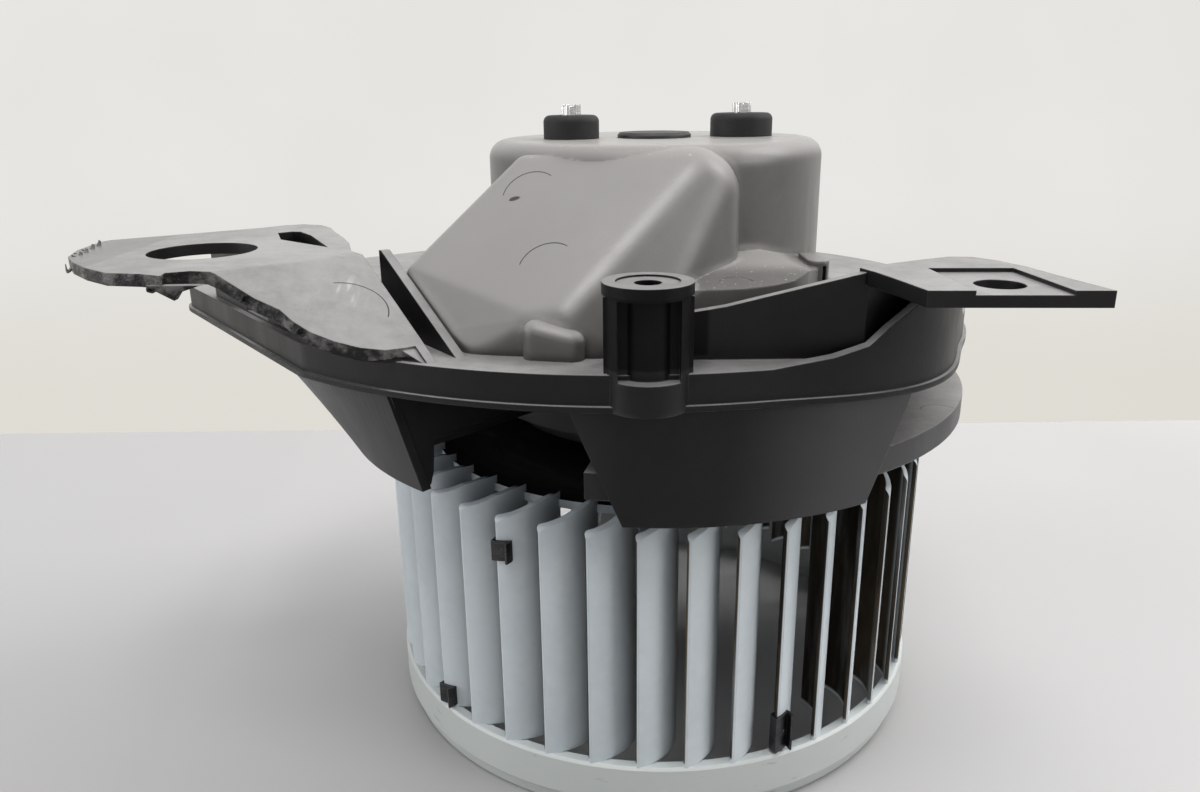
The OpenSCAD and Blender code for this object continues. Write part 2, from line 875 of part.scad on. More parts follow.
right_plan = moved([[41.5, -91.6], [72.8, -93.4], [71, -86], [69.4, -79], [67.6, -70], [65, -63.2],
    [61.5, -58.6], [57, -57.9], [50, -61.2], [43, -65], [35.8, -69.3], [37.5, -74], [39, -80]], -55);
right_hole = [57.3, -83] + polar(spread, -55);
right_recess = moved([[50, -100], [66.5, -100], [64.5, -71.4], [48.5, -70.5]], -55);

module right_tab() {
    shift = polar(spread, -55);
    difference() {
        union() {
            translate([0, 0, fixing_z - tab_t])
                linear_extrude(tab_t + 0.4)
                    polygon(right_plan);
            // Outer wall of the pocket, rising to the tab at both ends
            intersection() {
                rim_band(0, rim_wall, rim_z + 1, 30);
                translate([shift[0], 0, 0])
                    rotate([90, 0, 0])
                        linear_extrude(110 + spread)
                            polygon([[18, rim_z + 1], [18, deck_z], [30, deck_z + 1.6], [37, deck_z + 3.4],
                                [41, deck_z + 6.7], [48.6, deck_z + 11.5], [52, fixing_z - tab_t + 0.1],
                                [100, fixing_z - tab_t + 0.1], [100, rim_z + 1]]);
                translate([10, shift[1], 0])
                    rotate([90, 0, 90])
                        linear_extrude(100 + spread)
                            polygon([[-110, rim_z + 1], [-110, fixing_z], [-62, fixing_z],
                                [-36, deck_z], [-36, rim_z + 1]]);
            }
            // Inner wall of the pocket, and its run to the right under the tab
            translate([0, shift[1], 0])
                intersection() {
                    translate([2, -71.8, deck_z - 1])
                        cube([34.5 + spread, 2.2, 30]);
                    rotate([90, 0, 0])
                        translate([shift[0], 0, 60])
                            linear_extrude(20)
                                polygon([[2 - spread, deck_z - 1], [2 - spread, deck_z + 9.3], [10, deck_z + 10.6],
                                    [36.6, fixing_z - 0.1], [36.6, deck_z - 1]]);
                }
            translate([0, 0, deck_z - 1])
                linear_extrude(fixing_h - tab_t + 1.1)
                    polygon(moved([[35, -71.8], [37, -71.8], [60, -56.5], [59, -54.5], [35, -69.6]], -55));
        }
        translate([0, 0, fixing_z - 0.4])
            linear_extrude(5)
                polygon(right_recess);
        translate([right_hole[0], right_hole[1], fixing_z - 10])
            cylinder(r = right_hole_r, h = 20);
    }
}

post_at = [-5.5, -77.6] + polar(spread, -94);

module screw_post() {
    height = fixing_z - rim_z;
    groove = 5.8;
    translate([post_at[0], post_at[1], rim_z])
        difference() {
            union() {
                difference() {
                    union() {
                        cylinder(r = post_r - 0.3, h = height - 1);
                        translate([0.3 - post_r, -3, 0])
                            cube([2 * post_r - 0.6, 8, height - 2.4]);
                    }
                    translate([-groove, -post_r - 1, rim_depth - 1])
                        cube([2 * groove, post_r - 3, height - rim_depth - 1.6]);
                }
                cylinder(r = groove - 0.2, h = height - 1);
                translate([0, 0, height - 2.2])
                    cylinder(r = post_r, h = 2.2);
            }
            translate([0, 0, -1])
                cylinder(r = post_hole_r, h = 60);
            translate([0, 0, height - 0.4])
                cylinder(r = post_r - 2.6, h = 2);
        }
}

// Plain side skirt in front, cut back at a slant at both ends
module front_skirt() {
    low = wheel_h + skirt_rise;
    intersection() {
        difference() {
            cylinder(r = skirt_r, h = deck_z - 1, $fn = 180);
            translate([0, 0, -1])
                cylinder(r = skirt_r - 2.4, h = deck_z + 2, $fn = 180);
        }
        rotate([90, 0, 0])
            linear_extrude(120 + spread)
                polygon([[-24.1, deck_z - 1], [-10.5, low], [40.5, low], [54.4, deck_z - 1]]);
    }
}

// Skirt at the left: a shell that falls from the spiral rim to a circle over the wheel
module left_skirt() {
    steps = 60;
    from = -133;
    to = -205;
    low = wheel_h + skirt_rise;
    high = deck_z - 2;
    wall = 2.4;
    function top_r(a) = min(a < -147 ? outlet_at(a) : rim_at(a), rim_r + 25) - rim_wall + 0.5;
    function ring(a) = [
        concat(polar(top_r(a), a), high),
        concat(polar(skirt_r + 0.6, a + 2), low),
        concat(polar(skirt_r + 0.6 - wall, a + 2), low),
        concat(polar(top_r(a) - wall, a), high)];
    points = [for (i = [0 : steps]) for (p = ring(from + (to - from) * i / steps)) p];
    sides = [for (i = [0 : steps - 1]) for (j = [0 : 3])
        [4 * i + j, 4 * i + (j + 1) % 4, 4 * i + 4 + (j + 1) % 4, 4 * i + 4 + j]];
    triangles = [for (q = sides) each [[q[0], q[1], q[2]], [q[0], q[2], q[3]]]];
    polyhedron(points, concat([[3, 2, 1, 0]], triangles,
        [[4 * steps, 4 * steps + 1, 4 * steps + 2, 4 * steps + 3]]));
    // Web that closes the shell's front end
    rotate([90, 0, from])
        translate([0, 0, -1])
            linear_extrude(2)
                polygon([[cup_r + 1, deck_z - 1], [top_r(from) - 0.6, high], [skirt_r - 0.6, low + 0.8],
                    [skirt_r - 1.8, low - 0.6], [skirt_r - 3.2, low + 0.2], [skirt_r - 4.1, low + 3],
                    [skirt_r - 4.8, low + 10], [cup_r + 1, low + 12]]);
}

module lower_ring() {
    lip = 6;
    mouth_from = -133;
    mouth_to = -103;
    difference() {
        translate([0, 0, ring_z])
            rotate_extrude($fn = 180)
                polygon([[cup_r, lip - 2.6], [ring_r - 2.4, lip - 2.6], [ring_r - 2.4, 0], [ring_r - 0.5, 0],
                    [ring_r, 0.5], [ring_r, lip], [cup_r, lip]]);
        // Mouth through which cooling air rises to the hood
        translate([0, 0, ring_z - 1])
            linear_extrude(lip + 2)
                polygon([polar(cup_r + cup_wall, mouth_from), polar(2 * ring_r, mouth_from),
                    polar(2 * ring_r, (mouth_from + mouth_to) / 2), polar(2 * ring_r, mouth_to),
                    polar(cup_r + cup_wall, mouth_to)]);
    }
}

// Wall between the lower ring and the deck, open at the cooling-air mouth
module riser_wall() {
    translate([0, 0, ring_z + 5])
        rotate([0, 0, -103])
            rotate_extrude(angle = 330, $fn = 180)
                translate([ring_r - 17.4, 0])
                    square([2.4, deck_z - deck_t - ring_z - 4]);
}

module motor_cup() {
    translate([0, 0, ring_z])
        difference() {
            cylinder(r = cup_r + cup_wall, h = deck_h - 1);
            translate([0, 0, -1])
                cylinder(r = can_r + 1, h = deck_h);
            translate([0, 0, 2])
                cylinder(r = cup_r, h = deck_h);
        }
}

module deck() {
    difference() {
        translate([0, 0, deck_z - deck_t])
            linear_extrude(deck_t)
                polygon(deck_outline(0.5));
        translate([0, 0, deck_z - deck_t - 1])
            cylinder(r = cup_r, h = deck_t + 2);
        // Air passage from the mouth into the hood
        translate([0, 0, deck_z - deck_t - 1])
            linear_extrude(deck_t + 2)
                polygon([[-44, -40], [-50, -42], [-42, -54], [-12, -56], [-12, -46], [-30, -38]]);
    }
}

module flange_housing() {
    color("darkslategray")
        difference() {
            union() {
                deck();
                rim_band(0, rim_wall, rim_z, rim_depth);
                rim_band(-0.8, 1, rim_z, 1.2);
                motor_cup();
                lower_ring();
                riser_wall();
                front_skirt();
                left_skirt();
                left_tab();
                right_tab();
                screw_post();
            }
            translate([0, 0, ring_z + 2])
                cylinder(r = cup_r, h = deck_h);
            translate([post_at[0], post_at[1], rim_z - 1])
                cylinder(r = post_hole_r, h = 60);
        }
}

// Plug socket behind the cap, clipped to the deck, with its mouth facing back

socket_at = [14, 50];
socket_size = [28, 20, 15];
socket_wall = 2;

module connector_socket() {
    color("black")
        translate([socket_at[0] - socket_size[0] / 2, socket_at[1], deck_z])
            difference() {
                cube(socket_size);
                translate([socket_wall, socket_wall + 2, socket_wall])
                    cube([socket_size[0] - 2 * socket_wall, socket_size[1],
                        socket_size[2] - 2 * socket_wall]);
                for (x = [-5.5, 5.5])
                    translate([socket_size[0] / 2 + x - 3.2, -1, socket_size[2] / 2 - 0.45])
                        cube([6.4, 8, 0.9]);
            }
}

module terminal_blades() {
    color("silver")
        for (x = [-5.5, 5.5])
            translate([socket_at[0] + x - 3.15, socket_at[1] + 0.2, deck_z + socket_size[2] / 2 - 0.4])
                cube([6.3, 13, 0.8]);
}

flange_housing();
motor_cover();
motor_can();
end_plate();
magnet_left();
magnet_right();
brush_left();
brush_right();
brush_spring_left();
brush_spring_right();
choke_left();
choke_right();
lower_bearing();
upper_bearing();
isolator_ring();
damper_left();
damper_right();
stud_left();
stud_right();
centre_plug();
connector_socket();
terminal_blades();
impeller();
shaft();
armature_core();
armature_windings();
commutator();
thrust_washers();
hub_clip();
balance_clip_1();
balance_clip_2();
balance_clip_3();
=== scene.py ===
import math

import bmesh
import bpy
from mathutils import Matrix, Vector


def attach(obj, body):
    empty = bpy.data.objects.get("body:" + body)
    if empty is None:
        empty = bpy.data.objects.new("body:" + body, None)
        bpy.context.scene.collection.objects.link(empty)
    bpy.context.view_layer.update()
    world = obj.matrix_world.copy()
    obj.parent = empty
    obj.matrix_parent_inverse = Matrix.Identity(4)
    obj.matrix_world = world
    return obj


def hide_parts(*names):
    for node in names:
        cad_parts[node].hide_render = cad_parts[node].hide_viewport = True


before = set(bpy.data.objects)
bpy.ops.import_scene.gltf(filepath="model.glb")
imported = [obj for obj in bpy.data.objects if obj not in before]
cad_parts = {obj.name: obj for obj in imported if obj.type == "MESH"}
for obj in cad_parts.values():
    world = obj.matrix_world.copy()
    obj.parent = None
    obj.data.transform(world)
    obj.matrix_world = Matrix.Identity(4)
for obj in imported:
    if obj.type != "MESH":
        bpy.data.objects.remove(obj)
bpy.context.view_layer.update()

scene = bpy.context.scene
MM = 0.001

# Directions, seen from the camera's side of the object
UP, DOWN = (0, 0, 1), (0, 0, -1)
LEFT, RIGHT = (-1, 0, 0), (1, 0, 0)
FRONT, BACK = (0, -1, 0), (0, 1, 0)

# Heights, in mm, at which a look begins or ends on the object
INLET_RING_TOP = 13.2
DOME_FOOT = 45.0
LIP_FOOT = 94.0
SKIRT_TOP = 104.0
DECK_TOP = 110.5
TOOTH_TOP = 124.6
SHELF_TOP = 125.0
TAB_TOP = 126.75
POST_TOP = 137.0
CAP_ROOF = 149.0

# Places and radii, in mm, round which a look begins or ends
DOME_R = 60.5
POST = (-5.5, -77.6, 0.0)
POST_R = 12.8
LEFT_HOLE = (-104.0, -36.5, 0.0)
LEFT_HOLE_R = 12.4


# Camera, fitted to the photograph: place, pitch, roll and lens
CAMERA_PLACE = (-0.0146, -0.2500, 0.1604)
CAMERA_PITCH = 72.095
CAMERA_ROLL = -0.6626
CAMERA_LENS = 28.334

camera_data = bpy.data.cameras.new("camera")
camera_data.sensor_width = 36.0
camera_data.lens = CAMERA_LENS
camera_data.clip_start = 0.01
camera_data.clip_end = 20.0
camera = bpy.data.objects.new("camera", camera_data)
scene.collection.objects.link(camera)
camera.matrix_world = (
    Matrix.Translation(CAMERA_PLACE)
    @ Matrix.Rotation(math.radians(CAMERA_PITCH), 4, "X")
    @ Matrix.Rotation(math.radians(CAMERA_ROLL), 4, "Z")
)
scene.camera = camera
scene.view_settings.view_transform = "Standard"


# Shader nodes
class Shader:
    """A material with one Principled BSDF, and short calls for the nodes that feed it."""

    def __init__(self, name, color=(0.5, 0.5, 0.5), rough=0.5, metal=0.0, spec=0.5):
        self.mat = bpy.data.materials.new(name)
        self.mat.use_nodes = True
        self.tree = self.mat.node_tree
        self.bsdf = self.tree.nodes["Principled BSDF"]
        self.bsdf.inputs["Base Color"].default_value = (*color, 1.0)
        self.bsdf.inputs["Roughness"].default_value = rough
        self.bsdf.inputs["Metallic"].default_value = metal
        self.bsdf.inputs["Specular IOR Level"].default_value = spec
        coord = self.node("ShaderNodeTexCoord")
        self.coord = coord.outputs["Object"]
        self.face_normal = coord.outputs["Normal"]

    def node(self, kind, **values):
        n = self.tree.nodes.new(kind)
        for key, value in values.items():
            setattr(n, key, value)
        return n

    def join(self, value, socket):
        """Links an output to a socket, or sets the socket where the value is a plain one."""
        if isinstance(value, bpy.types.NodeSocket):
            self.tree.links.new(value, socket)
        else:
            socket.default_value = value

    def math(self, op, a, b=0.0):
        n = self.node("ShaderNodeMath", operation=op)
        self.join(a, n.inputs[0])
        self.join(b, n.inputs[1])
        return n.outputs[0]

    def product(self, first, *others):
        """The factors multiplied: 1 only where all of them are 1."""
        for other in others:
            first = self.math("MULTIPLY", first, other)
        return first

    def highest(self, first, *others):
        """The highest of the factors: 1 where any of them is 1."""
        for other in others:
            first = self.math("MAXIMUM", first, other)
        return first

    def blend(self, a, share_a, b, share_b):
        return self.math("ADD", self.product(a, share_a), self.product(b, share_b))

    def ramp(self, value, low, high, out_low=0.0, out_high=1.0, smooth=True):
        n = self.node("ShaderNodeMapRange")
        n.interpolation_type = "SMOOTHSTEP" if smooth else "LINEAR"
        self.join(value, n.inputs["Value"])
        self.join(low, n.inputs["From Min"])
        self.join(high, n.inputs["From Max"])
        self.join(out_low, n.inputs["To Min"])
        self.join(out_high, n.inputs["To Max"])
        return n.outputs["Result"]

    def fade(self, value, low, high):
        """1 below the low value, falling to 0 at the high one."""
        return self.ramp(value, low, high, 1.0, 0.0)

    def noise(self, scale, detail=2.0, rough=0.5, stretch=None):
        n = self.node("ShaderNodeTexNoise")
        n.inputs["Scale"].default_value = scale
        n.inputs["Detail"].default_value = detail
        n.inputs["Roughness"].default_value = rough
        source = self.coord
        if stretch:
            m = self.node("ShaderNodeMapping")
            m.inputs["Scale"].default_value = stretch
            self.tree.links.new(self.coord, m.inputs["Vector"])
            source = m.outputs["Vector"]
        self.tree.links.new(source, n.inputs["Vector"])
        return n.outputs["Fac"]

    def mix(self, fac, a, b):
        n = self.node("ShaderNodeMix", data_type="RGBA")
        self.join(fac, n.inputs[0])
        self.join((*a, 1.0) if isinstance(a, tuple) else a, n.inputs[6])
        self.join((*b, 1.0) if isinstance(b, tuple) else b, n.inputs[7])
        return n.outputs[2]

    def parts(self, vector):
        """The X, Y and Z of a vector."""
        n = self.node("ShaderNodeSeparateXYZ")
        self.tree.links.new(vector, n.inputs[0])
        return n.outputs

    def bevel(self, radius):
        n = self.node("ShaderNodeBevel", samples=6)
        self.join(radius, n.inputs["Radius"])
        return n.outputs["Normal"]

    def worn_edges(self, rounded):
        """1 in patches along the edges, where the rounded normal leaves the face's own."""
        geo = self.node("ShaderNodeNewGeometry")
        dot = self.node("ShaderNodeVectorMath", operation="DOT_PRODUCT")
        self.tree.links.new(rounded, dot.inputs[0])
        self.tree.links.new(geo.outputs["Normal"], dot.inputs[1])
        turned = self.ramp(self.math("SUBTRACT", 1.0, dot.outputs["Value"]), 0.02, 0.25)
        return self.product(turned, self.ramp(self.noise(160.0, 4.0, 0.7), 0.35, 0.7))

    def bump(self, height, depth, normal):
        """Rise of the given depth, in mm, on top of another normal."""
        n = self.node("ShaderNodeBump")
        n.inputs["Strength"].default_value = 1.0
        n.inputs["Distance"].default_value = depth * MM
        self.tree.links.new(height, n.inputs["Height"])
        self.tree.links.new(normal, n.inputs["Normal"])
        return n.outputs["Normal"]

    def distance(self, place, scale=(1.0, 1.0, 1.0)):
        """Distance in mm from a place on the object, given in mm."""
        away = self.node("ShaderNodeVectorMath", operation="SUBTRACT")
        self.tree.links.new(self.coord, away.inputs[0])
        away.inputs[1].default_value = [v * MM for v in place]
        wide = self.node("ShaderNodeVectorMath", operation="MULTIPLY")
        self.tree.links.new(away.outputs[0], wide.inputs[0])
        wide.inputs[1].default_value = [v / MM for v in scale]
        n = self.node("ShaderNodeVectorMath", operation="LENGTH")
        self.tree.links.new(wide.outputs[0], n.inputs[0])
        return n.outputs["Value"]

    def radius(self, place=(0.0, 0.0, 0.0)):
        """Distance in mm from the upright line through a place."""
        return self.distance(place, (1.0, 1.0, 0.0))

    def side_of(self, place, direction, width=0.5):
        """1 on the side of a place, in mm, to which the direction points."""
        n = self.node("ShaderNodeVectorMath", operation="DOT_PRODUCT")
        self.tree.links.new(self.coord, n.inputs[0])
        n.inputs[1].default_value = direction
        at = sum(a * b for a, b in zip(place, direction)) * MM
        return self.ramp(n.outputs["Value"], at, at + width * MM)

    def above(self, z, width):
        return self.side_of((0, 0, z), UP, width)

    def below(self, z, width):
        return self.side_of((0, 0, z), DOWN, width)

    def left_of(self, x, width):
        return self.side_of((x, 0, 0), LEFT, width)

    def right_of(self, x, width):
        return self.side_of((x, 0, 0), RIGHT, width)

    def in_front_of(self, y, width):
        return self.side_of((0, y, 0), FRONT, width)

    def arc(self, centre, radius, width, direction, place):
        """Part of a circle's line, such as the mark of an ejector pin, on the given side of a place."""
        off_line = self.math("ABSOLUTE", self.math("SUBTRACT", self.distance(centre), radius))
        return self.product(self.fade(off_line, 0.0, width), self.side_of(place, direction))

    def facing(self, axis, low, high):
        """1 where the face looks along an axis of the object."""
        geo = self.node("ShaderNodeNewGeometry")
        return self.ramp(self.parts(geo.outputs["Normal"])[axis], low, high)

    def about_axis(self):
        """How far a face looks away from the Z axis, and along the turn about it."""
        face, place = self.parts(self.face_normal), self.parts(self.coord)
        metres = self.product(self.radius(), MM)
        out = self.blend(face["X"], place["X"], face["Y"], place["Y"])
        forward = self.product(face["Y"], place["X"])
        turn = self.math("SUBTRACT", forward, self.product(face["X"], place["Y"]))
        return self.math("DIVIDE", out, metres), self.math("DIVIDE", turn, metres)

    def color(self, value):
        self.join(value, self.bsdf.inputs["Base Color"])

    def rough(self, value):
        self.join(value, self.bsdf.inputs["Roughness"])

    def spec(self, value):
        self.join(value, self.bsdf.inputs["Specular IOR Level"])

    def normal(self, value):
        self.join(value, self.bsdf.inputs["Normal"])


def plastic(name, dark, light, rough, spread=0.1, depth=0.03, edge=None, bevel=0.0004, spec=0.5):
    """Moulded plastic: fine grain, cloudy tone, handling marks and rounded edges.

    Its tone, sheen, grain and rounded normal are kept by name, so that more can be laid over them.
    """
    s = Shader(name, light, rough, spec=spec)
    tone = s.blend(s.noise(28.0, 5.0, 0.6), 0.75, s.noise(420.0, 3.0, 0.6), 0.25)
    s.base = s.mix(s.ramp(tone, 0.35, 0.65), dark, light)
    s.round_normal = s.bevel(bevel)
    if edge:
        s.base = s.mix(s.worn_edges(s.round_normal), s.base, edge)
    s.color(s.base)
    smear = s.noise(60.0, 6.0, 0.65, stretch=(1.0, 1.0, 0.4))
    s.sheen = s.ramp(smear, 0.3, 0.7, rough - spread, rough + spread)
    s.rough(s.sheen)
    s.grain = s.noise(1800.0, 3.0, 0.6)
    s.normal(s.bump(s.grain, depth, s.round_normal))
    return s


def metal(name, dark, light, rough, stretch=(1.0, 1.0, 12.0), scale=300.0, depth=0.01, metallic=1.0):
    """Drawn, turned or plated metal: streaks along the working direction and a cloudy tone."""
    s = Shader(name, light, rough, metal=metallic)
    streak = s.noise(scale, 5.0, 0.65, stretch=stretch)
    cloud = s.noise(70.0, 4.0, 0.6)
    s.color(s.mix(s.ramp(s.blend(streak, 1.0, cloud, 0.6), 0.55, 1.05), dark, light))
    s.rough(s.ramp(cloud, 0.3, 0.7, rough - 0.1, rough + 0.1))
    s.normal(s.bump(streak, depth, s.bevel(0.0002)))
    return s


def give(shader, *nodes):
    """Sets the one material of nodes, given by name, or of new objects."""
    for n in nodes:
        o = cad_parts[n] if isinstance(n, str) else n
        o.data.materials.clear()
        o.data.materials.append(shader.mat)


# Smooth copies of the two large mouldings: the gap that is welded and the shortest edge that is kept, in mm
WELD = 0.004
SHORTEST_EDGE = 0.002


def corner_normals(bm, crease):
    """Mean normal at each corner of each face, by area, of the faces within the crease angle, in degrees."""
    limit = math.cos(math.radians(crease))
    normals = {}
    for face in bm.faces:
        for vert in face.verts:
            total = Vector()
            for other in vert.link_faces:
                if other.normal.dot(face.normal) > limit:
                    total += other.normal * other.calc_area()
            mean = total.normalized() if total.length > 0 else face.normal.copy()
            normals[face.index, vert.index] = mean
    return normals


def smooth_copy(node, body, shards=(), crease=30.0):
    """A welded copy of a node, whose normals follow its large faces and turn smoothly between them."""
    bm = bmesh.new()
    bm.from_mesh(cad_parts[node].data)
    bmesh.ops.remove_doubles(bm, verts=bm.verts, dist=WELD * MM)
    bmesh.ops.dissolve_degenerate(bm, dist=SHORTEST_EDGE * MM, edges=bm.edges)
    for one in shards:
        shard(bm, *one)
    bm.faces.index_update()
    bm.verts.index_update()
    bm.normal_update()
    normals = corner_normals(bm, crease)
    mesh = bpy.data.meshes.new(node + "_look")
    bm.to_mesh(mesh)
    bm.free()
    for p in mesh.polygons:
        p.use_smooth = True
    mesh.normals_split_custom_set(
        [normals[p.index, mesh.loops[i].vertex_index] for p in mesh.polygons for i in p.loop_indices])
    o = bpy.data.objects.new(node + "_look", mesh)
    scene.collection.objects.link(o)
    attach(o, body)
    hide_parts(node)
    return o


# A chip's cross-section, as shares of its width and thickness, and its rows, curl and taper
CHIP_SECTION = ((-0.5, -0.5), (0.5, -0.4), (0.45, 0.5), (-0.4, 0.4))
CHIP_STEPS = 4
CHIP_CURL = 1.32
CHIP_TAPER = 0.75
CHIP_LEAN = (0.3, 0.4, 1.0)


def shard(bm, foot, tip, width, thick):
    """Thin curled chip that stands on the torn edge, from its foot to its tip, in mm."""
    foot, tip = Vector(foot) * MM, Vector(tip) * MM
    along = tip - foot
    across = along.cross(Vector(CHIP_LEAN)).normalized() * width * MM
    out = along.cross(across).normalized() * thick * MM
    rows = []
    for k in range(CHIP_STEPS + 1):
        t = k / CHIP_STEPS
        middle = foot + along * t + out * CHIP_CURL * math.sin(math.pi * t)
        slim = 1.0 - CHIP_TAPER * t
        rows.append([bm.verts.new(middle + across * a * slim + out * b * slim) for a, b in CHIP_SECTION])
    sides = len(CHIP_SECTION)
    for low, high in zip(rows, rows[1:]):
        for k in range(sides):
            bm.faces.new((low[k], low[(k + 1) % sides], high[(k + 1) % sides], high[k]))
    bm.faces.new(rows[0][::-1])
    bm.faces.new(rows[-1])


# Foot, tip, width and thickness of each chip, in mm: five round the tab's corner, three along the fall
SHARDS = (
    ((-129.4, -42.4, 126.6), (-129.2, -40.6, 127.6), 2.4, 1.1),
    ((-130.6, -39.0, 126.6), (-129.8, -37.0, 127.8), 3.0, 1.0),
    ((-131.4, -34.0, 126.6), (-130.9, -31.8, 128.0), 2.6, 1.0),
    ((-131.9, -29.6, 126.6), (-131.4, -27.8, 128.3), 2.0, 1.0),
    ((-128.3, -46.6, 125.6), (-129.3, -47.5, 126.1), 2.2, 1.1),
    ((-103.0, -64.8, 124.9), (-101.9, -65.6, 123.9), 2.6, 1.0),
    ((-84.0, -66.2, 122.4), (-83.5, -67.0, 121.4), 2.4, 1.0),
    ((-72.3, -71.2, 116.9), (-71.9, -71.9, 116.0), 2.2, 1.0),
)

flange = smooth_copy("flange_housing", "housing", SHARDS)
cover = smooth_copy("motor_cover", "housing", crease=46.0)


# Materials of the flange
def painted_skirt_light(s):
    """Painted light: the skirts under the deck made paler, more at the sides than in front."""
    outward = s.ramp(s.about_axis()[0], 0.3, 0.8)
    sideways = s.highest(s.facing("X", 0.1, 0.5), s.facing("X", -0.1, -0.5))
    cloud = s.ramp(s.noise(18.0, 4.0, 0.55), 0.3, 0.7, 0.75, 1.0)
    return s.product(outward, s.below(SKIRT_TOP, 3.0), sideways, cloud)


def painted_sheen_mask(s):
    """Painted sheen on faces that look up, but not the torn edge's hanging tooth, and less on the lip under
    the deck's rim, where shade falls.
    """
    cloud = s.blend(s.noise(22.0, 5.0, 0.55), 0.6, s.noise(240.0, 4.0, 0.7), 0.4)
    amount = s.ramp(cloud, 0.35, 0.65, 0.68, 1.0)
    tooth = s.product(s.below(TOOTH_TOP, 0.4), s.left_of(-88.0, 1.0), s.in_front_of(-42.0, 1.0))
    lip = s.product(s.below(SKIRT_TOP, 1.0), s.above(LIP_FOOT, 1.0))
    shaded = s.ramp(lip, 0.0, 1.0, 1.0, 0.4)
    return s.product(s.facing("Z", 0.48, 0.88), amount, s.math("SUBTRACT", 1.0, tooth), shaded)


def torn_mask(s):
    """Side faces of the torn edge of the left tab and the fall, but not of the hole or the slot beside."""
    sideways = s.math("SUBTRACT", 1.0, s.facing("Z", 0.3, 0.6))
    outside_hole = s.ramp(s.radius(LEFT_HOLE), LEFT_HOLE_R, LEFT_HOLE_R + 0.8)
    outside_slot = s.side_of((-60.0, -54.5, 0), (-0.809, -0.588, 0), 1.0)
    return s.product(sideways, s.above(DECK_TOP, 0.3), s.left_of(-48.0, 1.0), s.in_front_of(-39.0, 1.5),
                     outside_hole, outside_slot)


def flange_plastic():
    """The flange's plastic, with painted sheen and light on its top and skirts, a dull post, the rough torn
    edge, pin marks and scratches.
    """
    shine, dull = 0.24, 0.08
    s = plastic("flange_plastic", (0.0045, 0.0045, 0.0047), (0.0075, 0.0075, 0.0074), 0.42, 0.07,
                spec=shine)
    # Painted light: the skirts under the deck are made paler, most on their sides
    base = s.mix(painted_skirt_light(s), s.base, (0.058, 0.058, 0.059))
    # Painted sheen: faces that look up are made pale grey, standing in for the light they reflect
    base = s.mix(painted_sheen_mask(s), base, (0.25, 0.246, 0.243))

    post = s.fade(s.radius(POST), POST_R, POST_R + 1.2)
    post = s.product(post, s.below(POST_TOP, 1.0), s.above(DECK_TOP, 1.0))
    s.spec(s.ramp(post, 0.0, 1.0, shine, dull))
    worn = s.product(s.worn_edges(s.round_normal), s.ramp(post, 0.0, 1.0, 1.0, 0.15))
    base = s.mix(worn, base, (0.07, 0.07, 0.068))

    torn = torn_mask(s)
    rubble = s.noise(240.0, 5.0, 0.62)
    base = s.mix(s.product(torn, s.ramp(rubble, 0.42, 0.62)), base, (0.125, 0.12, 0.115))
    chips = s.product(s.above(TAB_TOP, 0.3), s.left_of(-120.0, 1.0))
    base = s.mix(chips, base, (0.16, 0.157, 0.153))

    near_pin = s.fade(s.distance((-68.0, -60.0, 121.0), (1.0, 0.6, 1.0)), 2.0, 7.0)
    streaks = s.noise(700.0, 2.0, 0.4, stretch=(1.0, 0.12, 0.3))
    base = s.mix(s.product(s.ramp(streaks, 0.56, 0.70), near_pin), base, (0.35, 0.34, 0.34))
    fall_pin = s.arc((-65.6, -62.6, 119.2), 8.35, 0.22, (0.50, 0.845, 0.21), (-63.7, -59.4, 120.0))
    ring_pin = s.arc((64.0, -43.0, 89.0), 4.2, 0.2, BACK, (64.0, -42.0, 89.0))
    pins = s.highest(fall_pin, ring_pin)
    s.color(s.mix(pins, base, (0.012, 0.011, 0.010)))

    relief = s.math("SUBTRACT", s.product(torn, rubble), s.product(pins, 0.12))
    s.normal(s.bump(relief, 0.9, s.bump(s.grain, 0.03, s.round_normal)))
    return s


give(flange_plastic(), flange)


# Material of the cap
HOOD_PIN_R = 6.2
HOOD_PIN_SIDE = (-0.25, 0.75, 0.61)
ROOF_DIMPLES = ((-35.0, -1.0, CAP_ROOF), (35.0, 4.0, CAP_ROOF), (-2.0, -34.0, CAP_ROOF))


